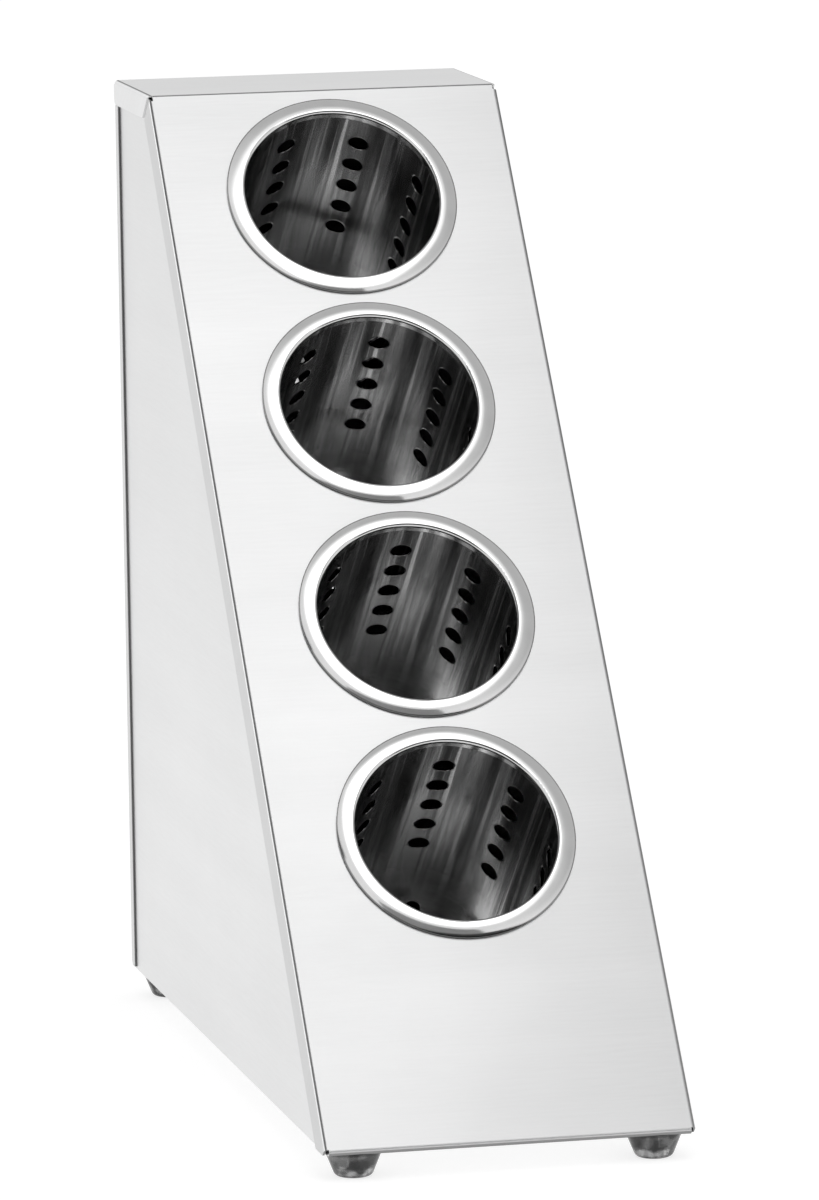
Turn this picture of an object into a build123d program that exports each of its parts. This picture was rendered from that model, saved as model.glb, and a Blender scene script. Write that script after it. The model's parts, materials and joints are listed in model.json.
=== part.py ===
from build123d import *
import math
import os

# Countertop cutlery holder: a wedge-shaped tower of folded stainless sheet whose sloping front
# carries a column of loose perforated cylinders, each hung by its rim in a hole of the panel.
# Millimetres. +Z up, front towards -Y, origin under the middle of the overall box.

os.makedirs("parts", exist_ok=True)

# Sheet metal
sheet = 1.0
bend_inside_radius = 1.0
fold_clearance = 0.2

# Cutlery cylinders
cylinder_count = 4
tube_bore = 101.0
tube_wall = 1.0
collar_depth = 2.0
base_thickness = 1.2
base_edge_radius = 0.6
rim_overlap = 7.5
rim_edge_height = 1.2
rim_crown = 1.6
rim_bore_radius = 1.8
perforation_diameter = 10.4
perforation_columns = 8
perforation_rows = 5
perforation_pitch = 19.45
first_perforation = 21.3
last_perforation_margin = 26.9
drain_diameter = 8.0
drain_count = 6
drain_circle_diameter = 54.0
# How far each cylinder happens to be turned in its hole, counted from the top
cylinder_turns = [67.5, 77.3, 86.3, 83.8]

# Front panel and the room the cylinders need
front_slope = 39.7
panel_clearance = 1.0
rim_gap = 6.0
rim_top_margin = 6.8
rim_side_margin = 32.5
cylinder_back_clearance = 4.8
cylinder_base_clearance = 12.7

# Flanges of the sheets
front_flange_width = 17.5
top_flange_height = 13.0
top_flange_corner_radius = 4.0
back_flange_width = 9.0
back_corner_radius = 10.0
base_flange_height = 15.0
return_margin = 2.0
relief_length = 3.4
relief_margin = 0.3

# Feet and their fasteners
foot_height = 13.0
foot_top_diameter = 28.5
foot_wall = 4.2
foot_edge_radius = 3.5
foot_margin = 3.25
recess_clearance = 0.6
screw_diameter = 4.0
screw_head_diameter = 7.6
screw_head_height = 2.6
screw_head_round = 1.0
screw_socket_width = 2.5
screw_socket_depth = 1.4
screw_head_floor_gap = 3.1
screw_clearance = 0.4
thread_clearance = 0.1
thread_proud = 1.2
washer_margin = 0.7
washer_thickness = 0.8
nut_wall = 1.45
nut_height = 3.2

# Sizes worked out from the values above
slope_sin = math.sin(math.radians(front_slope))
slope_cos = math.cos(math.radians(front_slope))
slope_tan = slope_sin / slope_cos
bend_outside_radius = bend_inside_radius + sheet
edge_gap = bend_inside_radius + fold_clearance

tube_bore_radius = tube_bore / 2
tube_radius = tube_bore_radius + tube_wall
hole_radius = tube_radius + panel_clearance
rim_radius = hole_radius + rim_overlap
rim_height = rim_edge_height + rim_crown
cylinder_pitch = 2 * rim_radius + rim_gap
first_cylinder = rim_radius + rim_top_margin
last_cylinder = first_cylinder + (cylinder_count - 1) * cylinder_pitch
tube_depth = first_perforation + (perforation_rows - 1) * perforation_pitch + last_perforation_margin

# The casing is as wide, deep and tall as its cylinders need with the clearances above
casing_width = 2 * (rim_radius + rim_side_margin)
top_depth = (
    tube_depth * slope_cos
    + (tube_radius - first_cylinder) * slope_sin
    + cylinder_back_clearance
    + 2 * sheet
)
casing_height = (
    (last_cylinder + tube_radius) * slope_cos
    + tube_depth * slope_sin
    + cylinder_base_clearance
    + 2 * sheet
)
base_depth = top_depth + casing_height * slope_tan
panel_length = casing_height / slope_cos

# The acute fold under the front edge sets the rounded nose back from the sharp corner
fold_half_angle = (90 + front_slope) / 2
nose_tangent = bend_outside_radius * math.tan(math.radians(fold_half_angle))
nose_inside_tangent = bend_inside_radius * math.tan(math.radians(fold_half_angle))
nose_setback = nose_tangent - bend_outside_radius
top_fold_tangent = bend_outside_radius * math.tan(math.radians((90 - front_slope) / 2))

half_width = casing_width / 2
back_y = (base_depth - nose_setback) / 2
front_y = back_y - base_depth
top_front_y = back_y - top_depth
underside = foot_height
top_z = underside + casing_height

foot_radius = foot_top_diameter / 2
foot_inset = foot_radius + foot_margin
foot_x = half_width - foot_inset
foot_front_y = front_y + foot_inset
foot_rear_y = back_y - foot_inset
return_depth = foot_inset + foot_radius + return_margin
foot_centres = {
    "front_left": (-foot_x, foot_front_y),
    "front_right": (foot_x, foot_front_y),
    "rear_left": (-foot_x, foot_rear_y),
    "rear_right": (foot_x, foot_rear_y),
}
foot_points = list(foot_centres.values())
screw_hole_radius = (screw_diameter + screw_clearance) / 2
nut_bore_radius = (screw_diameter + thread_clearance) / 2
head_radius = screw_head_diameter / 2
washer_radius = head_radius + washer_margin
recess_radius = washer_radius + recess_clearance / 2
foot_bottom_radius = recess_radius + foot_wall
washer_low_z = screw_head_floor_gap + screw_head_height
recess_depth = washer_low_z + washer_thickness
floor_top = underside + 2 * sheet
screw_tip_z = floor_top + nut_height + thread_proud

# Planes and directions of the sloping front
outward = Vector(0, -slope_cos, slope_sin)
up_panel = Vector(0, slope_sin, slope_cos)
front_plane = Plane(origin=(0, top_front_y, top_z), x_dir=(1, 0, 0), z_dir=outward)
outer_sides = [Plane.YZ.offset(side * half_width) for side in (-1, 1)]
inner_sides = [Plane.YZ.offset(side * (half_width - sheet)) for side in (-1, 1)]


def panel_point(along, inset):
    """Side view point: this far down the front face from its top edge, and this far in behind it."""
    y = top_front_y - along * slope_sin + inset * slope_cos
    z = top_z - along * slope_cos - inset * slope_sin
    return (y, z)


def front_line_y(z, inset):
    """Y, at this height, of the line that runs this far in behind the front face."""
    return top_front_y - (top_z - z) * slope_tan + inset / slope_cos


def cylinder_centre(index):
    """Middle of a cylinder's mouth, on the outer face of the front panel."""
    along = first_cylinder + index * cylinder_pitch
    y, z = panel_point(along, 0)
    return Vector(0, y, z)


def lies_on(edge, planes):
    """Whether an edge lies along one of these planes."""
    tolerance = 0.01
    ends = [edge @ 0, edge @ 1]
    return any(all(abs(plane.to_local_coords(end).Z) < tolerance for end in ends) for plane in planes)


def meeting_edges(edges, some_planes, other_planes):
    """The edges where one plane of each list meets."""
    return [edge for edge in edges if lies_on(edge, some_planes) and lies_on(edge, other_planes)]


def finish(built, name):
    """Label a finished piece and write it."""
    built.part.label = name
    export_step(built.part, f"parts/{name}.step")


# Front cover: front, top, rear lip and return fold as one bent strip, with side flanges
rear_lip_height = top_flange_height
flange_end = panel_length - nose_tangent - relief_margin
flange_foot = (casing_height - front_flange_width * slope_sin) / slope_cos
flange_nick = (panel_length - flange_end) / slope_tan
relief_width = bend_outside_radius + relief_margin
top_relief = top_fold_tangent + relief_margin
cut_reach = 2 * sheet

with BuildPart() as front_cover:
    with BuildSketch(Plane.YZ):
        with BuildLine():
            Polyline(
                (front_y, underside),
                (top_front_y, top_z),
                (back_y, top_z),
                (back_y, underside),
                close=True,
            )
        make_face()
        fillet(vertices(), bend_outside_radius)
        offset(amount=-sheet, mode=Mode.SUBTRACT)
    extrude(amount=half_width, both=True)

    # Open the back below the rear lip, and the underside behind the return fold
    with BuildSketch(Plane.YZ):
        with BuildLine():
            Polyline(
                (front_y + return_depth, underside - cut_reach),
                (back_y + cut_reach, underside - cut_reach),
                (back_y + cut_reach, top_z - rear_lip_height),
                (back_y - cut_reach, top_z - rear_lip_height),
                (back_y - cut_reach, underside + cut_reach),
                (front_y + return_depth, underside + cut_reach),
                close=True,
            )
        make_face()
    extrude(amount=casing_width, both=True, mode=Mode.SUBTRACT)

    # Corner reliefs where two folds meet
    for side in (-1, 1):
        with BuildSketch(Plane.YZ.offset(side * (half_width - relief_width))):
            with BuildLine():
                Polyline(
                    panel_point(relief_length, -cut_reach),
                    panel_point(relief_length, cut_reach),
                    (top_front_y + top_relief, top_z - 2 * cut_reach),
                    (top_front_y + top_relief, top_z + cut_reach),
                    (top_front_y - relief_length, top_z + cut_reach),
                    close=True,
                )
            make_face()
            with BuildLine():
                Polyline(
                    (back_y - relief_width, top_z + cut_reach),
                    (back_y + cut_reach, top_z + cut_reach),
                    (back_y + cut_reach, top_z - rear_lip_height - cut_reach),
                    (back_y - relief_width, top_z - rear_lip_height - cut_reach),
                    close=True,
                )
            make_face()
            with BuildLine():
                Polyline(
                    panel_point(flange_end, -cut_reach),
                    panel_point(flange_end, cut_reach),
                    (front_y + return_depth + cut_reach, underside + cut_reach),
                    (front_y + return_depth + cut_reach, underside - cut_reach),
                    (front_y - cut_reach, underside - cut_reach),
                    close=True,
                )
            make_face()
        extrude(amount=side * 2 * relief_width, mode=Mode.SUBTRACT)

    # Side flanges of the front and of the top
    for side in (-1, 1):
        with BuildSketch(Plane.YZ.offset(side * (half_width - sheet))):
            with BuildLine():
                Polyline(
                    panel_point(relief_length, 0),
                    panel_point(relief_length, front_flange_width),
                    panel_point(flange_foot, front_flange_width),
                    (front_line_y(underside, flange_nick), underside),
                    panel_point(flange_end, 0),
                    close=True,
                )
            make_face()
        extrude(amount=side * sheet)
        with BuildSketch(Plane.YZ.offset(side * (half_width - sheet))) as top_flange:
            with BuildLine():
                Polyline(
                    (top_front_y + top_relief, top_z),
                    (back_y - relief_width, top_z),
                    (back_y - relief_width, top_z - relief_width),
                    (back_y, top_z - relief_width),
                    (back_y, top_z - top_flange_height),
                    (top_front_y + top_relief + top_flange_height / slope_tan, top_z - top_flange_height),
                    close=True,
                )
            make_face()
            lower_rear = top_flange.vertices().sort_by_distance((back_y, top_z - top_flange_height))[0]
            fillet(lower_rear, top_flange_corner_radius)
        extrude(amount=side * sheet)

    # Bends between the faces and their side flanges
    straight_edges = front_cover.edges().filter_by(GeomType.LINE)
    faces_out = [front_plane, Plane.XY.offset(top_z)]
    faces_in = [face.offset(-sheet) for face in faces_out]
    outer_bends = meeting_edges(straight_edges, faces_out, outer_sides)
    inner_bends = meeting_edges(straight_edges, faces_in, inner_sides)
    fillet(outer_bends, bend_outside_radius)
    fillet(inner_bends, bend_inside_radius)

    # Holes for the cylinders, and for the front foot screws in the return fold
    with BuildSketch(front_plane):
        with Locations(*[(0, -first_cylinder - index * cylinder_pitch) for index in range(cylinder_count)]):
            Circle(hole_radius)
    extrude(amount=-cut_reach, mode=Mode.SUBTRACT)
    with BuildSketch(Plane.XY.offset(underside)):
        with Locations((-foot_x, foot_front_y), (foot_x, foot_front_y)):
            Circle(screw_hole_radius)
    extrude(amount=sheet, mode=Mode.SUBTRACT)
finish(front_cover, "front_cover")

# Side panels: flat sheets against the inside of the flanges, level with the base plate below
panel_inset = sheet + edge_gap
panel_rear_y = back_y - 2 * sheet - edge_gap
panel_low_z = underside + sheet
panel_high_z = top_z - panel_inset
for name, side in (("left_side_panel", -1), ("right_side_panel", 1)):
    with BuildPart() as side_panel:
        with BuildSketch(Plane.YZ.offset(side * (half_width - 2 * sheet))):
            with BuildLine():
                Polyline(
                    (front_line_y(panel_low_z, panel_inset), panel_low_z),
                    (front_line_y(panel_high_z, panel_inset), panel_high_z),
                    (panel_rear_y, panel_high_z),
                    (panel_rear_y, panel_low_z),
                    close=True,
                )
            make_face()
        extrude(amount=side * sheet)
    finish(side_panel, name)

# Back panel: inside the rear lip, with flanges lapped over the side panels and a return fold
back_face_y = back_y - sheet
back_flange_top = top_z - top_flange_height - fold_clearance
back_sheet_half_width = half_width - relief_width
with BuildPart() as back_panel:
    with BuildSketch(Plane.YZ) as back_strip:
        with BuildLine():
            Polyline(
                (back_face_y, panel_high_z),
                (back_face_y, underside),
                (back_face_y - return_depth, underside),
                (back_face_y - return_depth, underside + sheet),
                (back_face_y - sheet, underside + sheet),
                (back_face_y - sheet, panel_high_z),
                close=True,
            )
        make_face()
        fillet(back_strip.vertices().sort_by_distance((back_face_y, underside))[0], bend_outside_radius)
        inside_corner = (back_face_y - sheet, underside + sheet)
        fillet(back_strip.vertices().sort_by_distance(inside_corner)[0], bend_inside_radius)
    extrude(amount=back_sheet_half_width, both=True)

    with BuildSketch(Plane.XY.offset(back_flange_top)):
        with Locations((0, back_face_y - back_flange_width / 2)):
            Rectangle(casing_width, back_flange_width)
        with Locations((0, back_face_y - sheet - back_flange_width / 2)):
            Rectangle(casing_width - 2 * sheet, back_flange_width, mode=Mode.SUBTRACT)
    extrude(amount=underside + bend_outside_radius - back_flange_top)
    back_face = Plane.XZ.offset(-back_face_y)
    upright_edges = back_panel.edges().filter_by(Axis.Z)
    outer_bends = meeting_edges(upright_edges, [back_face], outer_sides)
    inner_bends = meeting_edges(upright_edges, [back_face.offset(sheet)], inner_sides)
    fillet(outer_bends, bend_outside_radius)
    fillet(inner_bends, bend_inside_radius)

    # Rounded lower ends of the flanges
    for side in (-1, 1):
        with BuildSketch(Plane.YZ.offset(side * (half_width - bend_outside_radius - sheet))):
            with Locations((back_face_y, underside)):
                Rectangle(2 * back_corner_radius, 2 * back_corner_radius)
            with Locations((back_face_y - back_corner_radius, underside + back_corner_radius)):
                Circle(back_corner_radius, mode=Mode.SUBTRACT)
        extrude(amount=side * casing_width, mode=Mode.SUBTRACT)

    with BuildSketch(Plane.XY.offset(underside)):
        with Locations((-foot_x, foot_rear_y), (foot_x, foot_rear_y)):
            Circle(screw_hole_radius)
    extrude(amount=sheet, mode=Mode.SUBTRACT)
finish(back_panel, "back_panel")

# Base plate: floor on the two return folds, with sides turned up against the side panels
base_half_width = half_width - 2 * sheet
base_inset = sheet + nose_inside_tangent * slope_cos + fold_clearance
with BuildPart() as base_plate:
    with BuildSketch(Plane.XZ.offset(-panel_rear_y)) as base_profile:
        with Locations((0, panel_low_z + base_flange_height / 2)):
            Rectangle(2 * base_half_width, base_flange_height)
        fillet(base_profile.vertices().group_by(Axis.Y)[0], bend_outside_radius)
        with Locations((0, floor_top + base_flange_height / 2)):
            RectangleRounded(
                2 * (base_half_width - sheet), base_flange_height, bend_inside_radius, mode=Mode.SUBTRACT
            )
    extrude(amount=panel_rear_y - front_y)
    split(bisect_by=front_plane.offset(-base_inset), keep=Keep.BOTTOM)
    with BuildSketch(Plane.XY.offset(panel_low_z)):
        with Locations(*foot_points):
            Circle(screw_hole_radius)
    extrude(amount=sheet, mode=Mode.SUBTRACT)
finish(base_plate, "base_plate")

# Feet: tapered bumpers with a rounded lower edge and a recess for the screw's head
for place, (foot_centre_x, foot_centre_y) in foot_centres.items():
    foot_plane = Plane(origin=(foot_centre_x, foot_centre_y, 0), x_dir=(1, 0, 0), z_dir=(0, -1, 0))
    with BuildPart() as foot:
        with BuildSketch(foot_plane):
            with BuildLine():
                Polyline(
                    (recess_radius, 0),
                    (foot_bottom_radius, 0),
                    (foot_radius, foot_height),
                    (screw_hole_radius, foot_height),
                    (screw_hole_radius, recess_depth),
                    (recess_radius, recess_depth),
                    close=True,
                )
            make_face()
        revolve(axis=Axis((foot_centre_x, foot_centre_y, 0), (0, 0, 1)))
        lower_rim = foot.edges().filter_by(GeomType.CIRCLE).group_by(Axis.Z)[0].sort_by(SortBy.RADIUS)[-1]
        fillet(lower_rim, foot_edge_radius)
    finish(foot, f"foot_{place}")

# Foot screws, washers and nuts, one group each
with BuildPart() as foot_screws:
    with BuildSketch(Plane.XY.offset(washer_low_z)):
        with Locations(*foot_points):
            Circle(head_radius)
    extrude(amount=-screw_head_height)
    fillet(foot_screws.edges().group_by(Axis.Z)[0], screw_head_round)
    with BuildSketch(Plane.XY.offset(screw_head_floor_gap)):
        with Locations(*foot_points):
            RegularPolygon(screw_socket_width / 2, 6, major_radius=False)
    extrude(amount=screw_socket_depth, mode=Mode.SUBTRACT)
    with BuildSketch(Plane.XY.offset(washer_low_z)):
        with Locations(*foot_points):
            Circle(screw_diameter / 2)
    extrude(amount=screw_tip_z - washer_low_z)
finish(foot_screws, "foot_screws")

with BuildPart() as foot_washers:
    with BuildSketch(Plane.XY.offset(washer_low_z)):
        with Locations(*foot_points):
            Circle(washer_radius)
            Circle(screw_hole_radius, mode=Mode.SUBTRACT)
    extrude(amount=washer_thickness)
finish(foot_washers, "foot_washers")

with BuildPart() as foot_nuts:
    with BuildSketch(Plane.XY.offset(floor_top)):
        with Locations(*foot_points):
            RegularPolygon(nut_bore_radius + nut_wall, 6, major_radius=False)
            Circle(nut_bore_radius, mode=Mode.SUBTRACT)
    extrude(amount=nut_height)
finish(foot_nuts, "foot_nuts")

# Cutlery cylinders: rim on the panel, perforated tube through the hole, drained base
for index in range(cylinder_count):
    centre = cylinder_centre(index)
    mouth_plane = Plane(origin=centre, x_dir=(1, 0, 0), z_dir=outward)
    section_plane = Plane(origin=centre, x_dir=(1, 0, 0), z_dir=-up_panel)
    turn = cylinder_turns[index % len(cylinder_turns)]

    with BuildPart() as rim:
        with BuildSketch(section_plane):
            with BuildLine():
                crown_start = (tube_bore_radius + rim_bore_radius, rim_height)
                bore_edge = (tube_bore_radius, rim_height - rim_bore_radius)
                crown = TangentArc(crown_start, (rim_radius, rim_edge_height), tangent=(1, 0))
                Polyline(
                    crown @ 1,
                    (rim_radius, 0),
                    (tube_radius, 0),
                    (tube_radius, -collar_depth),
                    (tube_bore_radius, -collar_depth),
                    bore_edge,
                )
                TangentArc(bore_edge, crown_start, tangent=(0, 1))
            make_face()
        revolve(axis=Axis(centre, outward))
    finish(rim, f"cylinder_{index + 1}_rim")

    with BuildPart() as tube:
        with BuildSketch(mouth_plane.offset(-collar_depth)):
            Circle(tube_radius)
            Circle(tube_bore_radius, mode=Mode.SUBTRACT)
        extrude(amount=-(tube_depth - base_thickness - collar_depth))
        for column in range(perforation_columns):
            angle = math.radians(turn + column * 360 / perforation_columns)
            radial = Vector(1, 0, 0) * math.cos(angle) + up_panel * math.sin(angle)
            with BuildSketch(Plane(origin=centre, x_dir=-outward, z_dir=radial)):
                with Locations(
                    *[(first_perforation + row * perforation_pitch, 0) for row in range(perforation_rows)]
                ):
                    Circle(perforation_diameter / 2)
            extrude(amount=hole_radius, mode=Mode.SUBTRACT)
    finish(tube, f"cylinder_{index + 1}_tube")

    with BuildPart() as base:
        with BuildSketch(mouth_plane.offset(-tube_depth)):
            Circle(tube_radius)
            Circle(drain_diameter / 2, mode=Mode.SUBTRACT)
            with PolarLocations(drain_circle_diameter / 2, drain_count, start_angle=turn):
                Circle(drain_diameter / 2, mode=Mode.SUBTRACT)
        extrude(amount=base_thickness)
        outer_edges = base.edges().filter_by(GeomType.CIRCLE).group_by(SortBy.RADIUS)[-1]
        fillet(outer_edges.sort_by(Axis(centre, outward))[0], base_edge_radius)
    finish(base, f"cylinder_{index + 1}_base")
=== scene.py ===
import json
import math

import bpy
from mathutils import Matrix, Quaternion, Vector


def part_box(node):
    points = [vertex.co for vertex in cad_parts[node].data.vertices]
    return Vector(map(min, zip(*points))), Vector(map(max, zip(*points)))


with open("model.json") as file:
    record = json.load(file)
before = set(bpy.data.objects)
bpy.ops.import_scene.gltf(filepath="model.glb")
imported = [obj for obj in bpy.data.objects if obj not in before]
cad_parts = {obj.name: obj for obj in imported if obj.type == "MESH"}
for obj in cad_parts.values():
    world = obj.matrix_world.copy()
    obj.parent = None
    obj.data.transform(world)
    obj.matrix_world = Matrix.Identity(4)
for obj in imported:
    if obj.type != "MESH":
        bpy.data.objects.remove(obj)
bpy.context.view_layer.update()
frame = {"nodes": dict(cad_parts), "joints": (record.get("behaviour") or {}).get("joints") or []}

# Lengths are in metres in the part's own frame: +Z up, front towards -Y, floor at z = 0.
# Angles are in degrees.

# Camera: where the photograph was taken from
IMAGE_HEIGHT = 1200
FOCAL_PIXELS = 8558
SENSOR_MM = 36.0
CAMERA_AZIMUTH = 12.71
CAMERA_ELEVATION = 8.88
CAMERA_ROLL = -0.84
CAMERA_DISTANCE = 4.341
CAMERA_TARGET = Vector((0.0082, -0.0011, 0.2437))

# Floor: its tone as a source of bounced light, and its glow and shaded tone as it is seen
FLOOR_RADIUS = 9.0
FLOOR_SEGMENTS = 96
FLOOR_GREY = 0.80
FLOOR_GLOW = 0.76
FLOOR_SHADE = 0.34

# Surroundings: brightness by the height and the side of the direction that is looked in
AMBIENT_LEVEL = 0.80
BACKDROP_LEVEL = 1.0
BACKDROP_TOP = 0.30
BACKDROP_RISE = 0.30
CEILING_START = 0.66
CEILING_BACK = 0.50
CEILING_FRONT = 0.82
CEILING_SLANT = Vector((-0.6, -0.8, 0.0))
CEILING_CHANGE = (-0.15, 0.45)

# Lamps
SOFTBOX_CENTRE = Vector((0.12, -0.80, 1.75))
SOFTBOX_SIZE = (1.24, 1.71)
SOFTBOX_FADE = 0.30
SOFTBOX_TURN = 9.0
SOFTBOX_RADIANCE = 1.38
STRIP_CENTRE = Vector((-2.05, 0.90, 0.85))
STRIP_SIZE = (0.70, 0.90)
STRIP_RADIANCE = 1.5
STRIP_AIM = Vector((0.0, 0.0, 0.25))

# Flags: dark cards that the steel mirrors
FRONT_FLAG_GREY = 0.02
FRONT_FLAG_CENTRE = Vector((0.0, -3.2, 1.05))
FRONT_FLAG_SIZE = (6.0, 1.9)
UPPER_FLAG_GREY = 0.30
UPPER_FLAG_CENTRE = Vector((-0.08, -2.4, 1.88))
UPPER_FLAG_SIZE = (1.65, 0.92)
LEFT_FLAG_GREY = 0.25
LEFT_FLAG_CENTRE = Vector((-1.75, 0.0, 1.76))
LEFT_FLAG_SIZE = (1.90, 2.0)
RIGHT_FLAG_GREY = 0.20
RIGHT_FLAG_CENTRE = Vector((2.2, 1.1, 1.25))
RIGHT_FLAG_SIZE = (2.8, 1.5)

# Directions of the sloping front, from the way the cylinders lift
ACROSS = Vector((1, 0, 0))
BACKWARD = Vector((0, 1, 0))
UPWARD = Vector((0, 0, 1))
OUTWARD = Vector(frame["joints"][0]["axis"]).normalized()
UP_PANEL = OUTWARD.cross(ACROSS)
CYLINDERS = [joint["child"] for joint in frame["joints"]]

# In the values below, a range for a mask gives where it is 0 and where it is 1, and a range of four gives
# where it starts, is full, fades and ends. A facing is a part of the surface normal, and a dark share, how
# strong a painted shade is, runs from 0 to 1. Tones by noise are pairs of the noise's value and the tone
# there. A range of roughness, clouding or dark shares gives the values at either end.

# Masks and noises: the whole range of a mask, and the middle that most of a noise stays within
WHOLE = (0.0, 1.0)
NOISE_SPAN = (0.3, 0.7)

# Satin sheets
SATIN_ANISOTROPY = 0.85
COVER_TONE = 0.77
BACK_TONE = 0.77
SIDE_TONE = 0.73
TONE_SPREAD = 0.035
SATIN_WARMTH = -0.002
# The grey that the satin sheets' painted shade darkens towards
SATIN_PAINTED_SHADE_TONE = 0.06
STREAK_SPAN = (0.25, 0.75)
FINE_STREAK_SHARE = 0.6
BROAD_STREAK_SHARE = 0.4
FINE_STREAK_SPAN = (0.2, 0.8)
SATIN_ROUGHNESS = (0.35, 0.39)
SATIN_CLOUDING = (-0.01, 0.02)
GRAIN_DEPTH = 0.00005

# Cover: how far its top edge is up the panel from the first cylinder, and how high its nose reaches
TOP_EDGE_RISE = 0.0668
TOP_EDGE_FADE = 0.003
NOSE_TOP = 0.03
NOSE_FADE = 0.01

# Cover: facings of its folds, of the painted-shade lines along them and of its faces with painted shade
NOT_SIDEWAYS = (0.12, 0.04)
TO_THE_FRONT = (-0.02, -0.12)
SIDE_FOLD_FORWARD = (0.05, 0.12)
SIDE_FOLD_SLANT = (0.10, 0.04)
LEFT_LINE = (-0.80, -0.72, -0.40, -0.30)
RIGHT_LINE = (0.10, 0.45)
TOP_FOLD_UPWARD = (0.03, 0.10)
TOP_FOLD_SLANT = (0.10, 0.04)
TOP_SIDE_LINE = (0.03, 0.10, 0.42, 0.52)
TOP_FRONT_LINE = (0.68, 0.74, 0.90, 0.95)
NOSE_FACING = (0.05, -0.25)
NOSE_EDGE_FACING = (-0.99, -0.96, -0.85, -0.70)
COVER_FLANGE_FACING = (0.95, 0.99)
INSIDE_FACING = (0.85, 0.95)

# Cover: shares of painted shade
LEFT_LINE_DARK = 0.66
RIGHT_LINE_DARK = 0.56
TOP_SIDE_LINE_DARK = 0.75
TOP_FRONT_LINE_DARK = 0.72
NOSE_DARK = 0.68
NOSE_EDGE_DARK = 0.85
COVER_FLANGE_DARK = 0.23
INSIDE_DARK = 0.9

# Back panel and base plate: painted shade on the flanges, and how far out the darker part of the painted
# shade on the flanges' cut edges reaches
BACK_FLANGE_FACING = (0.5, 0.95)
BACK_FLANGE_DARK = 0.24
BACK_EDGE_FACING = (-0.6, -0.8)
BACK_EDGE_REACH = 0.0922
BACK_EDGE_FADE = 0.0001
BACK_EDGE_DARK = (0.24, 0.84)

# Side panels: painted shade on the cut edges, and the heights between which painted shade
# darkens the panels
SIDE_EDGE_FACING = (0.8, 0.6)
SIDE_EDGE_DARK = 0.9
SIDE_SHADE_HEIGHTS = (0.15, 0.45)
SIDE_SHADE = (0.0, 0.06)

# Cylinders: sizes, and depths below the panel's face
TUBE_RADIUS = 0.0505
TUBE_MIDDLE_DEPTH = 0.0634
TUBE_INSIDE = (TUBE_RADIUS + 0.0007, TUBE_RADIUS + 0.0003)
MOUTH_DEPTHS = (0.072, 0.020)
BASE_DEPTH = 0.1245
BASE_FADE = 0.002
FIRST_HOLE_DEPTH = 0.0213
HOLE_PITCH = 0.01945
HOLE_RADIUS = 0.0052
HOLE_EDGE = 0.0006
HOLE_EDGE_DROP = HOLE_EDGE * 1.3
HOLE_ROWS = 5
HOLE_COLUMNS = 8
HOLE_TURNS = (67.5, 77.3, 86.3, 83.8)

# Seams: where each cylinder's welded seam lies round it, from +X towards the top, and how wide it is
SEAM_ANGLES = (235.0, 290.0, 160.7, 23.0)
SEAM_HALF_WIDTH = 0.0014
SEAM_CORE_SHARE = 0.4
SEAM_SIDE = (0.01, 0.02)

# Rims: painted shade on their outer edge, measured in from the rim's radius, on the wall below it,
# and on the lip in the bore
RIM_ANISOTROPY = 0.3
RIM_TONES = ((0.3, 0.80), (0.7, 0.86))
RIM_PAINTED_SHADE_TONE = 0.05
RIM_ROUGHNESS = (0.06, 0.11)
RIM_CLOUD_SPAN = (0.4, 0.7)
RIM_CLOUDING = (0.0, 0.03)
RIM_EDGE_START = 0.0008
RIM_EDGE_FULL = 0.0002
RIM_EDGE_DARK = 0.72
RIM_WALL_FACING = (0.6, 0.9)
RIM_WALL_DEPTHS = (-0.0008, -0.0003)
RIM_WALL_DARK = (0.45, 0.95)
RIM_LIP = 0.0018
RIM_LIP_CORE_SHARE = 0.8
RIM_LIP_FACING = (0.30, 0.75)
RIM_LIP_DARK = 0.30

# Tubes: grey tones by the value of their streaks, how bare their seams are, how strong the painted
# highlights on hole edges and glint lines are, and painted shade near the mouth and on the hole walls
TUBE_ANISOTROPY = 0.6
TUBE_TONES = ((0.26, 0.10), (0.38, 0.24), (0.49, 0.52), (0.60, 0.92))
TUBE_SEAM_AND_HIGHLIGHT_TONE = 0.95
TUBE_BROAD_SHARE = 0.65
TUBE_FINE_SHARE = 0.35
MOUTH_PAINTED_SHADE = 0.16
SEAM_BARE = 0.7
HOLE_EDGE_HIGHLIGHT = 0.55
GLINT_SPAN = (0.57, 0.63)
GLINT_HIGHLIGHT = 0.6
HOLE_WALL_FACING = (0.7, 0.3)
HOLE_WALL_SHADE_TONE = 0.012
TUBE_RING_SCALE = 1500
TUBE_ROUGHNESS = (0.13, 0.19)
TUBE_CLOUDING = (-0.03, 0.05)
SEAM_HEIGHT_SHARE = 0.4
ROLLED_DEPTH = 0.0005

# Bases of the cylinders
DISC_TONES = ((0.3, 0.62), (0.7, 0.82))
DISC_ROUGHNESS = (0.15, 0.22)
DISC_CLOUDING = (-0.02, 0.04)
DISC_RING_DEPTH = 0.0001

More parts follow.
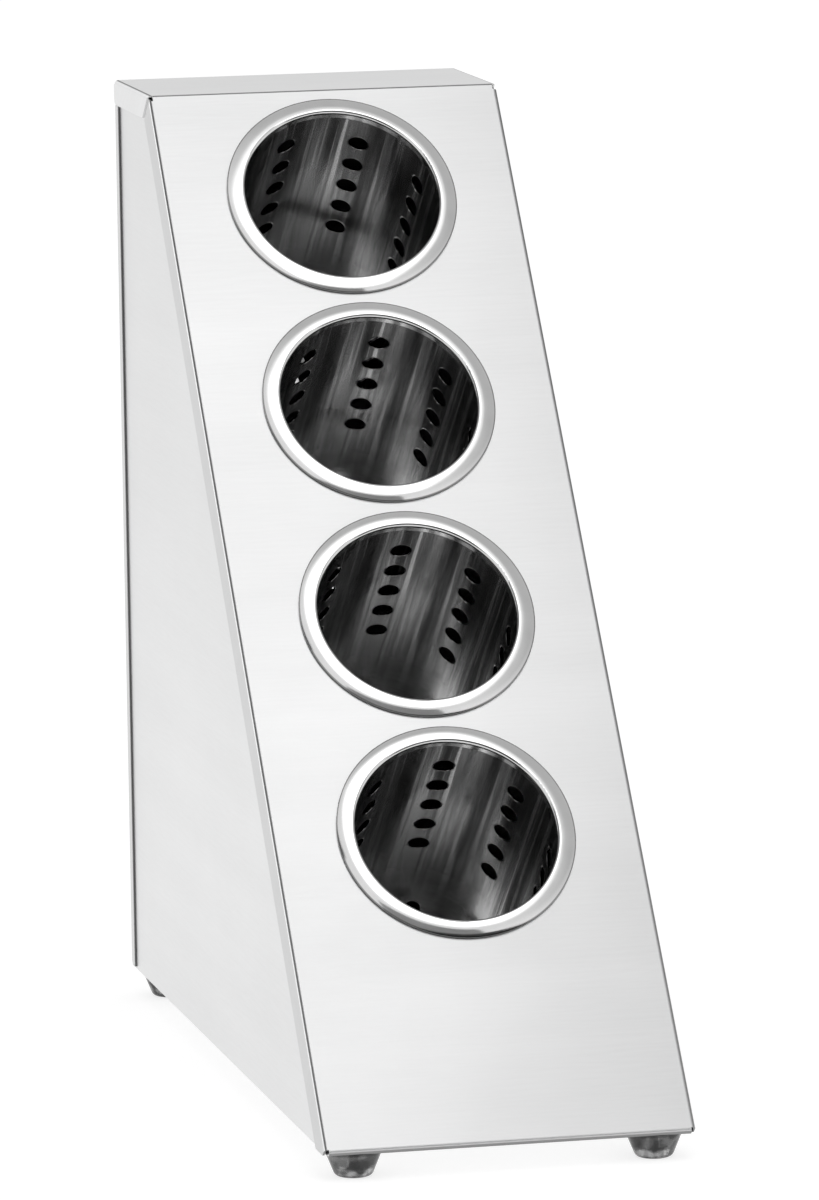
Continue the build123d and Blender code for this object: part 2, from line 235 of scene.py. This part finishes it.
# Feet: grey tones by the value of their haze, and the heights of their band of painted light and of
# their parts with painted shade
FOOT_TRANSMISSION = 0.7
FOOT_IOR = 1.45
FOOT_TONES = ((0.40, 0.05), (0.52, 0.16), (0.62, 0.85))
FOOT_PAINTED_LIGHT_TONE = 0.95
FOOT_PAINTED_SHADE_TONE = 0.02
FOOT_PALE_HEIGHTS = (0.0012, 0.0022, 0.0040, 0.0056)
FOOT_PALE_HAZE = (0.36, 0.56)
FOOT_BOTTOM_HEIGHTS = (0.0015, 0.0004)
FOOT_BOTTOM_DARK = 0.95
FOOT_UPPER_HEIGHTS = (0.0054, 0.0070)
FOOT_UPPER_DARK = 0.62
FOOT_TOP_HEIGHTS = (0.0098, 0.0122)
FOOT_TOP_DARK = 0.85
FOOT_ROUGHNESS = (0.04, 0.10)
FOOT_HAZE_DEPTH = 0.0012

# Screws, washers and nuts
FASTENER_COLOURS = ((0.3, (0.66, 0.67, 0.68)), (0.7, (0.84, 0.85, 0.86)))
FASTENER_ROUGHNESS = (0.30, 0.46)


def grey(level, warmth=0.0):
    """A grey, or one that leans to red with warmth and to blue with less than none."""
    return (level * (1 + warmth), level, level * (1 - warmth))


def greys(stops):
    """Ramp stops from pairs of a place and a grey level."""
    return [(place, grey(level)) for place, level in stops]


class Nodes:
    """Adds nodes to one node tree, each with its inputs set or linked."""

    def __init__(self, tree):
        self.tree = tree

    def add(self, kind, inputs=None, **settings):
        node = self.tree.nodes.new("ShaderNode" + kind)
        for name, value in settings.items():
            setattr(node, name, value)
        for socket, value in (inputs or {}).items():
            if isinstance(value, bpy.types.NodeSocket):
                self.tree.links.new(value, node.inputs[socket])
            else:
                node.inputs[socket].default_value = value
        return node

    def math(self, operation, *values):
        return self.add("Math", dict(enumerate(values)), operation=operation).outputs[0]

    def absolute(self, value):
        return self.math("ABSOLUTE", value)

    def product(self, *values):
        made = values[0]
        for value in values[1:]:
            made = self.math("MULTIPLY", made, value)
        return made

    def largest(self, *values):
        most = values[0]
        for value in values[1:]:
            most = self.math("MAXIMUM", most, value)
        return most

    def strongest(self, *marks):
        """The largest of several masks, each one times its share."""
        return self.largest(*(self.product(mask, share) for mask, share in marks))

    def vector(self, operation, *values):
        node = self.add("VectorMath", dict(enumerate(values)), operation=operation)
        scalar = operation in ("DOT_PRODUCT", "LENGTH")
        return node.outputs["Value" if scalar else "Vector"]

    def along(self, vector, direction):
        """How far a vector reaches along a fixed direction."""
        return self.vector("DOT_PRODUCT", vector, tuple(direction))

    def split(self, vector):
        return self.add("SeparateXYZ", {0: vector}).outputs[:]

    def joined(self, x, y, z):
        return self.add("CombineXYZ", {0: x, 1: y, 2: z}).outputs[0]

    def remap(self, value, span, new_span):
        """Value moved from one span to another, and kept within it."""
        inputs = {0: value, 1: span[0], 2: span[1], 3: new_span[0], 4: new_span[1]}
        return self.add("MapRange", inputs).outputs[0]

    def smooth(self, value, low, high):
        """0 at low and 1 at high, eased between them."""
        node = self.add("MapRange", {0: value, 1: low, 2: high}, interpolation_type="SMOOTHSTEP")
        return node.outputs[0]

    def band(self, value, start, full, fade, end):
        """Rises from start to full, then falls from fade to end."""
        return self.product(self.smooth(value, start, full), self.smooth(value, end, fade))

    def noise(self, coordinates, scale=1.0, detail=3.0, roughness=0.55):
        inputs = {"Vector": coordinates, "Scale": scale, "Detail": detail, "Roughness": roughness}
        return self.add("TexNoise", inputs).outputs["Fac"]

    def rings(self, distance, scale, detail):
        """Noise that changes with one distance only."""
        return self.noise(self.joined(self.product(distance, scale), 0.0, 0.0), detail=detail)

    def ramp(self, value, stops):
        """Colour by the value, through pairs of a place and a colour."""
        node = self.add("ValToRGB", {0: value})
        elements = node.color_ramp.elements
        for element, (place, colour) in zip((elements[0], elements[-1]), (stops[0], stops[-1])):
            element.position = place
            element.color = (*colour, 1)
        for place, colour in stops[1:-1]:
            elements.new(place).color = (*colour, 1)
        return node.outputs[0]

    def toned(self, amount, colour, level):
        """Colour that goes over to a grey level by amount."""
        inputs = {0: amount, 6: colour, 7: (*grey(level), 1)}
        return self.add("Mix", inputs, data_type="RGBA").outputs[2]

    def bump(self, height, strength, distance, under=None):
        """Normal bent by a height, on top of another bump if one is given."""
        inputs = {"Height": height, "Strength": strength, "Distance": distance}
        if under:
            inputs["Normal"] = under
        return self.add("Bump", inputs).outputs[0]

    def shown(self):
        """1 for rays that see the studio as it is shown: camera, mirrored and see-through rays."""
        path = self.add("LightPath")
        rays = ("Is Camera Ray", "Is Glossy Ray", "Is Transmission Ray")
        return self.largest(*(path.outputs[ray] for ray in rays))


def mouth(index):
    """Middle of a cylinder's mouth, on the panel's face."""
    low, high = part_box(f"{CYLINDERS[index]}_tube")
    return (low + high) / 2 + TUBE_MIDDLE_DEPTH * OUTWARD


def new_surface(name, **settings):
    """A material with one Principled shader, its constant sockets set, and its node helper."""
    material = bpy.data.materials.new(name)
    material.use_nodes = True
    shader = material.node_tree.nodes["Principled BSDF"]
    for socket, value in settings.items():
        shader.inputs[socket.replace("_", " ").title().replace("Ior", "IOR")].default_value = value
    return material, shader, Nodes(material.node_tree)


def connect(nodes, shader, **sockets):
    """Link outputs to the shader's sockets of these names."""
    for socket, output in sockets.items():
        nodes.tree.links.new(output, shader.inputs[socket.replace("_", " ").title()])


def cover_painted_shade(nodes, normal, position):
    """Painted shade: thin dark lines along the cover's folds, and darker nose, front flanges and inside."""
    x, y, z = nodes.split(normal)
    height = nodes.split(position)[2]
    sideways = nodes.absolute(x)
    forward = nodes.along(normal, OUTWARD)
    slant = nodes.absolute(nodes.along(normal, UP_PANEL))
    level = nodes.smooth(sideways, *NOT_SIDEWAYS)
    facing_front = nodes.smooth(y, *TO_THE_FRONT)

    on_side_fold = nodes.product(
        nodes.smooth(forward, *SIDE_FOLD_FORWARD), nodes.smooth(slant, *SIDE_FOLD_SLANT)
    )
    left_line = nodes.product(nodes.band(x, *LEFT_LINE), on_side_fold)
    right_line = nodes.product(nodes.smooth(x, *RIGHT_LINE), on_side_fold)
    top_side_line = nodes.product(
        nodes.band(sideways, *TOP_SIDE_LINE),
        nodes.smooth(z, *TOP_FOLD_UPWARD),
        nodes.smooth(nodes.absolute(y), *TOP_FOLD_SLANT),
    )
    top_front_line = nodes.product(nodes.band(z, *TOP_FRONT_LINE), level, facing_front)

    on_nose = nodes.product(level, nodes.smooth(height, NOSE_TOP + NOSE_FADE, NOSE_TOP))
    nose = nodes.product(nodes.smooth(z, *NOSE_FACING), facing_front, on_nose)
    nose_edge = nodes.product(nodes.band(z, *NOSE_EDGE_FACING), on_nose)
    rise = nodes.along(nodes.vector("SUBTRACT", position, tuple(mouth(0))), UP_PANEL)
    under_top_edge = nodes.smooth(rise, TOP_EDGE_RISE, TOP_EDGE_RISE - TOP_EDGE_FADE)
    flange = nodes.product(nodes.smooth(sideways, *COVER_FLANGE_FACING), under_top_edge)
    inside = nodes.smooth(nodes.product(forward, -1.0), *INSIDE_FACING)
    return nodes.strongest(
        (left_line, LEFT_LINE_DARK),
        (right_line, RIGHT_LINE_DARK),
        (top_side_line, TOP_SIDE_LINE_DARK),
        (top_front_line, TOP_FRONT_LINE_DARK),
        (nose, NOSE_DARK),
        (nose_edge, NOSE_EDGE_DARK),
        (flange, COVER_FLANGE_DARK),
        (inside, INSIDE_DARK),
    )


def back_painted_shade(nodes, normal, position):
    """Painted shade: the back panel's and base plate's flanges a little darker, their cut edges dark."""
    x, y, _ = nodes.split(normal)
    flange = nodes.smooth(nodes.absolute(x), *BACK_FLANGE_FACING)
    cut_edge = nodes.smooth(y, *BACK_EDGE_FACING)
    outwards = nodes.absolute(nodes.split(position)[0])
    inner_part = nodes.smooth(outwards, BACK_EDGE_REACH + BACK_EDGE_FADE, BACK_EDGE_REACH - BACK_EDGE_FADE)
    return nodes.strongest(
        (flange, BACK_FLANGE_DARK),
        (cut_edge, nodes.remap(inner_part, WHOLE, BACK_EDGE_DARK)),
    )


def side_painted_shade(nodes, normal, position):
    """Painted shade: a flat side panel a little darker towards the top, its cut edges dark."""
    sideways = nodes.absolute(nodes.split(normal)[0])
    cut_edge = nodes.product(nodes.smooth(sideways, *SIDE_EDGE_FACING), SIDE_EDGE_DARK)
    return nodes.largest(cut_edge, nodes.remap(nodes.split(position)[2], SIDE_SHADE_HEIGHTS, SIDE_SHADE))


def satin_steel(name, grain, across, marks, tone):
    """Brushed stainless sheet: streaks run along grain, and its sheen spreads across them."""
    material, shader, nodes = new_surface(name, metallic=1.0, anisotropic=SATIN_ANISOTROPY)
    place = nodes.add("TexCoord")
    position = place.outputs["Object"]
    along = nodes.along(position, grain)
    over = nodes.along(position, across)

    def streaks(along_scale, over_scale, layer, detail):
        stretched = nodes.joined(nodes.product(along, along_scale), nodes.product(over, over_scale), layer)
        return nodes.noise(stretched, detail=detail)

    fine = streaks(along_scale=42, over_scale=560, layer=0.0, detail=4)
    broad = streaks(along_scale=2, over_scale=45, layer=4.0, detail=2)
    cloud = nodes.noise(position, scale=7, detail=3)
    streak = nodes.math(
        "ADD", nodes.product(fine, FINE_STREAK_SHARE), nodes.product(broad, BROAD_STREAK_SHARE)
    )
    tones = (grey(tone - TONE_SPREAD, SATIN_WARMTH), grey(tone + TONE_SPREAD, SATIN_WARMTH))
    plain = nodes.ramp(streak, list(zip(STREAK_SPAN, tones)))
    # Painted shade from the sheet's own function: dark lines along folds and cut edges, and darker faces
    dark = marks(nodes, place.outputs["Normal"], position)
    rough = nodes.math(
        "ADD",
        nodes.remap(fine, FINE_STREAK_SPAN, SATIN_ROUGHNESS),
        nodes.remap(cloud, NOISE_SPAN, SATIN_CLOUDING),
    )
    connect(
        nodes,
        shader,
        base_color=nodes.toned(dark, plain, SATIN_PAINTED_SHADE_TONE),
        roughness=rough,
        tangent=nodes.joined(*across),
        normal=nodes.bump(fine, strength=0.08, distance=GRAIN_DEPTH),
    )
    return material


class CylinderSpace:
    """Sockets for the place and the facing of a point relative to a cylinder's mouth."""

    def __init__(self, nodes, centre):
        place = nodes.add("TexCoord")
        self.nodes = nodes
        self.offset = nodes.vector("SUBTRACT", place.outputs["Object"], tuple(centre))
        self.x = nodes.along(self.offset, ACROSS)
        self.v = nodes.along(self.offset, UP_PANEL)
        self.depth = nodes.along(self.offset, -OUTWARD)
        axial = nodes.add("VectorMath", {0: tuple(OUTWARD), "Scale": self.depth}, operation="SCALE")
        self.radial = nodes.vector("ADD", self.offset, axial.outputs[0])
        self.radius = nodes.vector("LENGTH", self.radial)
        outwards = nodes.vector("NORMALIZE", self.radial)
        facing = nodes.vector("DOT_PRODUCT", place.outputs["Normal"], outwards)
        self.facing_wall = nodes.absolute(facing)

    def streaks(self, round_scale, length_scale, detail, roughness):
        """Noise drawn out along the cylinder."""
        nodes = self.nodes
        stretched = nodes.joined(
            nodes.product(self.x, round_scale),
            nodes.product(self.v, round_scale),
            nodes.product(self.depth, length_scale),
        )
        return nodes.noise(stretched, detail=detail, roughness=roughness)

    def seam(self, angle):
        """1 on a narrow line along the wall, at this angle round it."""
        nodes = self.nodes
        turn = math.radians(angle)
        side = math.cos(turn) * ACROSS + math.sin(turn) * UP_PANEL
        beside = nodes.absolute(nodes.along(self.offset, OUTWARD.cross(side)))
        on_side = nodes.smooth(nodes.along(self.offset, side), *SEAM_SIDE)
        return nodes.product(
            nodes.smooth(beside, SEAM_HALF_WIDTH, SEAM_HALF_WIDTH * SEAM_CORE_SHARE), on_side
        )

    def from_hole(self, turn):
        """How far a point of the wall is from the middle of the nearest perforation."""
        nodes = self.nodes
        step = 2 * math.pi / HOLE_COLUMNS
        angle = nodes.math("SUBTRACT", nodes.math("ARCTAN2", self.v, self.x), math.radians(turn))
        column = nodes.math("DIVIDE", angle, step)
        past_column = nodes.math("SUBTRACT", column, nodes.math("ROUND", column))
        row = nodes.math("DIVIDE", nodes.math("SUBTRACT", self.depth, FIRST_HOLE_DEPTH), HOLE_PITCH)
        nearest = nodes.math("MAXIMUM", nodes.math("ROUND", row), 0)
        nearest = nodes.math("MINIMUM", nearest, HOLE_ROWS - 1)
        past_row = nodes.math("SUBTRACT", row, nearest)
        return nodes.vector(
            "LENGTH",
            nodes.joined(
                nodes.product(past_column, step * TUBE_RADIUS), nodes.product(past_row, HOLE_PITCH), 0.0
            ),
        )


def polished_steel(name, centre, rim_radius):
    """Mirror-polished rim with faint turned rings, painted shade on its outer edge and bore's lip."""
    material, shader, nodes = new_surface(name, metallic=1.0, anisotropic=RIM_ANISOTROPY)
    space = CylinderSpace(nodes, centre)
    rings = nodes.rings(space.radius, scale=1900, detail=3)
    cloud = nodes.noise(space.offset, scale=55, detail=4)
    bright = nodes.ramp(cloud, greys(RIM_TONES))

    edge = nodes.smooth(space.radius, rim_radius - RIM_EDGE_START, rim_radius - RIM_EDGE_FULL)
    wall = nodes.product(edge, nodes.smooth(space.facing_wall, *RIM_WALL_FACING))
    top_edge = nodes.math("SUBTRACT", edge, wall)
    at_panel = nodes.smooth(space.depth, *RIM_WALL_DEPTHS)
    in_bore = nodes.smooth(
        space.radius, TUBE_RADIUS + RIM_LIP, TUBE_RADIUS + RIM_LIP * RIM_LIP_CORE_SHARE
    )
    lip = nodes.product(in_bore, nodes.smooth(space.facing_wall, *RIM_LIP_FACING))
    # Painted shade: a contact shadow along the outer edge and down the wall to the panel, and shade on the
    # bore's lip
    dark = nodes.strongest(
        (top_edge, RIM_EDGE_DARK),
        (wall, nodes.remap(at_panel, WHOLE, RIM_WALL_DARK)),
        (lip, RIM_LIP_DARK),
    )
    rough = nodes.math(
        "ADD",
        nodes.remap(rings, NOISE_SPAN, RIM_ROUGHNESS),
        nodes.remap(cloud, RIM_CLOUD_SPAN, RIM_CLOUDING),
    )
    colour = nodes.toned(dark, bright, RIM_PAINTED_SHADE_TONE)
    connect(nodes, shader, base_color=colour, roughness=rough, tangent=space.radial)
    return material


def tube_steel(name, centre, hole_turn, seam_angle):
    """Rolled cylinder steel: banded lengthwise, welded seam, eased holes, painted highlights and shade."""
    material, shader, nodes = new_surface(name, metallic=1.0, anisotropic=TUBE_ANISOTROPY)
    space = CylinderSpace(nodes, centre)
    broad = space.streaks(round_scale=95, length_scale=7, detail=3, roughness=0.5)
    fine = space.streaks(round_scale=420, length_scale=9, detail=3, roughness=0.6)
    glints = space.streaks(round_scale=250, length_scale=4, detail=7, roughness=0.4)
    rings = nodes.noise(nodes.joined(0.0, 0.0, nodes.product(space.depth, TUBE_RING_SCALE)), detail=2)
    cloud = nodes.noise(space.offset, scale=28, detail=3)
    seam = space.seam(seam_angle)
    on_wall = nodes.smooth(space.depth, BASE_DEPTH, BASE_DEPTH - BASE_FADE)
    # Painted shade: faces that don't face round the tube, such as the perforations' cut walls, go nearly
    # black
    hole_wall = nodes.product(nodes.smooth(space.facing_wall, *HOLE_WALL_FACING), on_wall)
    eased = nodes.smooth(space.from_hole(hole_turn), HOLE_RADIUS, HOLE_RADIUS + HOLE_EDGE)
    eased = nodes.math("MAXIMUM", eased, nodes.math("SUBTRACT", 1.0, on_wall))

    streak = nodes.math(
        "ADD", nodes.product(broad, TUBE_BROAD_SHARE), nodes.product(fine, TUBE_FINE_SHARE)
    )
    inside = nodes.smooth(space.radius, *TUBE_INSIDE)
    # Painted shade: the inside of the wall darkens towards the mouth
    near_mouth = nodes.product(nodes.smooth(space.depth, *MOUTH_DEPTHS), inside)
    streak = nodes.math("SUBTRACT", streak, nodes.product(near_mouth, MOUTH_PAINTED_SHADE))
    plain = nodes.ramp(streak, greys(TUBE_TONES))
    # The bare seam is the steel's own; the bright hole edges and glint lines are painted highlights
    seam_and_highlights = nodes.strongest(
        (seam, SEAM_BARE),
        (nodes.math("SUBTRACT", 1.0, eased), HOLE_EDGE_HIGHLIGHT),
        (nodes.smooth(glints, *GLINT_SPAN), GLINT_HIGHLIGHT),
    )
    colour = nodes.toned(seam_and_highlights, plain, TUBE_SEAM_AND_HIGHLIGHT_TONE)
    rough = nodes.math(
        "ADD",
        nodes.remap(rings, NOISE_SPAN, TUBE_ROUGHNESS),
        nodes.remap(cloud, NOISE_SPAN, TUBE_CLOUDING),
    )
    seamed = nodes.math("ADD", broad, nodes.product(seam, SEAM_HEIGHT_SHARE))
    rolled = nodes.bump(seamed, strength=0.6, distance=ROLLED_DEPTH)
    connect(
        nodes,
        shader,
        base_color=nodes.toned(hole_wall, colour, HOLE_WALL_SHADE_TONE),
        roughness=rough,
        tangent=nodes.joined(*OUTWARD),
        normal=nodes.bump(eased, strength=1.0, distance=HOLE_EDGE_DROP, under=rolled),
    )
    return material


def disc_steel(name, centre):
    """Dull steel of a cylinder's base, with faint turned rings."""
    material, shader, nodes = new_surface(name, metallic=1.0)
    space = CylinderSpace(nodes, centre)
    rings = nodes.rings(space.radius, scale=900, detail=3)
    cloud = nodes.noise(space.offset, scale=40, detail=2)
    rough = nodes.math(
        "ADD",
        nodes.remap(rings, NOISE_SPAN, DISC_ROUGHNESS),
        nodes.remap(cloud, NOISE_SPAN, DISC_CLOUDING),
    )
    connect(
        nodes,
        shader,
        base_color=nodes.ramp(cloud, greys(DISC_TONES)),
        roughness=rough,
        normal=nodes.bump(rings, strength=0.15, distance=DISC_RING_DEPTH),
    )
    return material


def clear_foot(name):
    """Glossy smoke-grey bumper: clouded, painted light low down, painted shade higher and at the bottom."""
    material, shader, nodes = new_surface(name, transmission_weight=FOOT_TRANSMISSION, ior=FOOT_IOR)
    position = nodes.add("TexCoord").outputs["Object"]
    height = nodes.split(position)[2]
    haze = nodes.noise(position, scale=120, detail=1)
    plain = nodes.ramp(haze, greys(FOOT_TONES))
    # Painted light: a pale band low down, where the haze allows
    painted_light = nodes.product(nodes.band(height, *FOOT_PALE_HEIGHTS), nodes.smooth(haze, *FOOT_PALE_HAZE))
    # Painted shade: darker at the very bottom, above the pale band and at the top
    dark = nodes.strongest(
        (nodes.smooth(height, *FOOT_BOTTOM_HEIGHTS), FOOT_BOTTOM_DARK),
        (nodes.smooth(height, *FOOT_UPPER_HEIGHTS), FOOT_UPPER_DARK),
        (nodes.smooth(height, *FOOT_TOP_HEIGHTS), FOOT_TOP_DARK),
    )
    haze_and_painted_light = nodes.toned(painted_light, plain, FOOT_PAINTED_LIGHT_TONE)
    connect(
        nodes,
        shader,
        base_color=nodes.toned(dark, haze_and_painted_light, FOOT_PAINTED_SHADE_TONE),
        roughness=nodes.remap(haze, NOISE_SPAN, FOOT_ROUGHNESS),
        normal=nodes.bump(haze, strength=0.25, distance=FOOT_HAZE_DEPTH),
    )
    return material


def fastener_steel(name):
    """Zinc-plated screws, washers and nuts."""
    material, shader, nodes = new_surface(name, metallic=1.0)
    position = nodes.add("TexCoord").outputs["Object"]
    cloud = nodes.noise(position, scale=420, detail=4)
    colour = nodes.ramp(cloud, FASTENER_COLOURS)
    connect(nodes, shader, base_color=colour, roughness=nodes.remap(cloud, NOISE_SPAN, FASTENER_ROUGHNESS))
    return material


def dress(node, material):
    """Give a carried-over piece its finish."""
    frame["nodes"][node].material_slots[0].material = material


def dress_casing():
    # The cover's streaks follow its sheet round the folds, so its grain has a part along the flanges
    dress("front_cover", satin_steel("satin_cover", ACROSS - OUTWARD, UP_PANEL, cover_painted_shade, COVER_TONE))
    sides = satin_steel("satin_side", BACKWARD, UPWARD, side_painted_shade, SIDE_TONE)
    for side in ("left", "right"):
        dress(f"{side}_side_panel", sides)
    dress("back_panel", satin_steel("satin_back", ACROSS, UPWARD, back_painted_shade, BACK_TONE))
    dress("base_plate", satin_steel("satin_floor", BACKWARD, ACROSS, back_painted_shade, BACK_TONE))


def dress_cylinders():
    for index, cylinder in enumerate(CYLINDERS):
        centre = mouth(index)
        low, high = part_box(f"{cylinder}_rim")
        dress(f"{cylinder}_rim", polished_steel(f"polished_{cylinder}", centre, (high.x - low.x) / 2))
        tube = tube_steel(f"drawn_{cylinder}", centre, HOLE_TURNS[index], SEAM_ANGLES[index])
        dress(f"{cylinder}_tube", tube)
        dress(f"{cylinder}_base", disc_steel(f"disc_{cylinder}", centre))


def dress_feet():
    foot = clear_foot("clear_foot")
    fastener = fastener_steel("fastener")
    for node in frame["nodes"]:
        if node.startswith(("foot_front", "foot_rear")):
            dress(node, foot)
    for node in ("foot_screws", "foot_washers", "foot_nuts"):
        dress(node, fastener)


def add_mesh(name, points, faces, material):
    """A mesh of one material, placed in the scene."""
    mesh = bpy.data.meshes.new(name)
    mesh.from_pydata(points, [], faces)
    mesh.materials.append(material)
    made = bpy.data.objects.new(name, mesh)
    bpy.context.scene.collection.objects.link(made)
    return made


def floor_material():
    """Pale floor that shows white where it is lit and keeps the part's shadow."""
    material = bpy.data.materials.new("pale_floor")
    material.use_nodes = True
    nodes = Nodes(material.node_tree)
    output = material.node_tree.nodes["Material Output"]
    material.node_tree.nodes.remove(material.node_tree.nodes["Principled BSDF"])
    plain = nodes.add("BsdfDiffuse", {"Color": (*grey(FLOOR_GREY), 1)}).outputs[0]
    glow = nodes.add("Emission", {"Strength": FLOOR_GLOW}).outputs[0]
    shade = nodes.add("BsdfDiffuse", {"Color": (*grey(FLOOR_SHADE), 1)}).outputs[0]
    bright = nodes.add("AddShader", {0: glow, 1: shade}).outputs[0]
    seen = nodes.add("MixShader", {0: nodes.shown(), 1: plain, 2: bright}).outputs[0]
    # Seen from underneath it isn't there, so that the underside can be looked at
    under = nodes.add("NewGeometry").outputs["Backfacing"]
    clear = nodes.add("BsdfTransparent").outputs[0]
    both = nodes.add("MixShader", {0: under, 1: seen, 2: clear}).outputs[0]
    material.node_tree.links.new(both, output.inputs["Surface"])
    return material


def add_floor():
    """A round floor under the part."""
    turns = [2 * math.pi * step / FLOOR_SEGMENTS for step in range(FLOOR_SEGMENTS)]
    rim = [(FLOOR_RADIUS * math.cos(turn), FLOOR_RADIUS * math.sin(turn), 0) for turn in turns]
    floor = add_mesh("floor", rim, [range(FLOOR_SEGMENTS)], floor_material())


def add_flag(name, centre, size, tone, wide_axis, long_axis):
    """A dark card along these two axes that only mirrors and glass see."""
    material, _, _ = new_surface(name, base_color=(*grey(tone), 1), roughness=1.0)
    half_wide, half_long = size[0] / 2, size[1] / 2
    corners = [(-1, -1), (1, -1), (1, 1), (-1, 1)]
    points = [centre + wide * half_wide * wide_axis + long * half_long * long_axis for wide, long in corners]
    flag = add_mesh(name, points, [(0, 1, 2, 3)], material)
    flag.visible_camera = False
    flag.visible_diffuse = False
    flag.visible_shadow = False


def soften_edges(light, fade):
    """Dim a rectangular light towards its edges over this share of its width and depth."""
    light.use_nodes = True
    nodes = Nodes(light.node_tree)
    wide, long, _ = nodes.split(nodes.add("NewGeometry").outputs["Parametric"])
    falloff = nodes.product(nodes.band(wide, 0, fade, 1 - fade, 1), nodes.band(long, 0, fade, 1 - fade, 1))
    light.node_tree.links.new(falloff, light.node_tree.nodes["Emission"].inputs["Strength"])


def add_lamp(name, centre, size, radiance, aim, turn=0.0, fade=0.0):
    """A soft rectangular light of this brightness, facing aim and turned in its own plane."""
    width, depth = size
    light = bpy.data.lights.new(name, "AREA")
    light.shape = "RECTANGLE"
    light.size = width
    light.size_y = depth
    light.energy = math.pi * width * depth * radiance
    if fade:
        soften_edges(light, fade)
    lamp = bpy.data.objects.new(name, light)
    lamp.location = centre
    facing = (aim - centre).to_track_quat("-Z", "Y")
    lamp.rotation_euler = (facing @ Quaternion((0, 0, 1), math.radians(turn))).to_euler()
    lamp.visible_camera = False
    bpy.context.scene.collection.objects.link(lamp)


def set_world():
    """White surroundings that dim towards the ceiling, and more so at the back and right of it."""
    world = bpy.data.worlds.new("studio")
    world.use_nodes = True
    bpy.context.scene.world = world
    nodes = Nodes(world.node_tree)
    direction = nodes.add("TexCoord").outputs["Generated"]
    _, y, z = nodes.split(direction)
    behind = nodes.math("MAXIMUM", y, 0.0)
    height = nodes.math("SUBTRACT", z, nodes.product(behind, BACKDROP_RISE))
    towards_front = nodes.smooth(nodes.along(direction, CEILING_SLANT), *CEILING_CHANGE)
    ceiling = nodes.remap(towards_front, WHOLE, (CEILING_BACK, CEILING_FRONT))
    studio = nodes.remap(height, (BACKDROP_TOP, CEILING_START), (BACKDROP_LEVEL, ceiling))
    level = nodes.add("Mix", {0: nodes.shown(), 2: AMBIENT_LEVEL, 3: studio}).outputs[0]
    background = world.node_tree.nodes["Background"]
    background.inputs["Color"].default_value = (1, 1, 1, 1)
    world.node_tree.links.new(level, background.inputs["Strength"])


def add_camera():
    """The photograph's camera, looking at its target from its azimuth and elevation."""
    azimuth, elevation, roll = (
        math.radians(angle) for angle in (CAMERA_AZIMUTH, CAMERA_ELEVATION, CAMERA_ROLL)
    )
    forward = Vector(
        (
            math.sin(azimuth) * math.cos(elevation),
            math.cos(azimuth) * math.cos(elevation),
            -math.sin(elevation),
        )
    )
    level = Vector((math.cos(azimuth), -math.sin(azimuth), 0))
    upright = level.cross(forward)
    right = math.cos(roll) * level + math.sin(roll) * upright
    up = math.cos(roll) * upright - math.sin(roll) * level
    data = bpy.data.cameras.new("camera")
    data.sensor_width = SENSOR_MM
    data.lens = SENSOR_MM * FOCAL_PIXELS / IMAGE_HEIGHT
    camera = bpy.data.objects.new("camera", data)
    turned = Matrix((right, up, -forward)).transposed().to_4x4()
    camera.matrix_world = Matrix.Translation(CAMERA_TARGET - CAMERA_DISTANCE * forward) @ turned
    bpy.context.scene.collection.objects.link(camera)
    bpy.context.scene.camera = camera


dress_casing()
dress_cylinders()
dress_feet()
add_floor()
add_flag("front_flag", FRONT_FLAG_CENTRE, FRONT_FLAG_SIZE, FRONT_FLAG_GREY, ACROSS, UPWARD)
add_flag("upper_flag", UPPER_FLAG_CENTRE, UPPER_FLAG_SIZE, UPPER_FLAG_GREY, ACROSS, UPWARD)
add_flag("left_flag", LEFT_FLAG_CENTRE, LEFT_FLAG_SIZE, LEFT_FLAG_GREY, ACROSS, BACKWARD)
add_flag("right_flag", RIGHT_FLAG_CENTRE, RIGHT_FLAG_SIZE, RIGHT_FLAG_GREY, BACKWARD, UPWARD)
below = SOFTBOX_CENTRE - UPWARD
add_lamp("softbox", SOFTBOX_CENTRE, SOFTBOX_SIZE, SOFTBOX_RADIANCE, below, SOFTBOX_TURN, SOFTBOX_FADE)
add_lamp("strip", STRIP_CENTRE, STRIP_SIZE, STRIP_RADIANCE, STRIP_AIM)
set_world()
add_camera()
bpy.context.scene.view_settings.view_transform = "Standard"
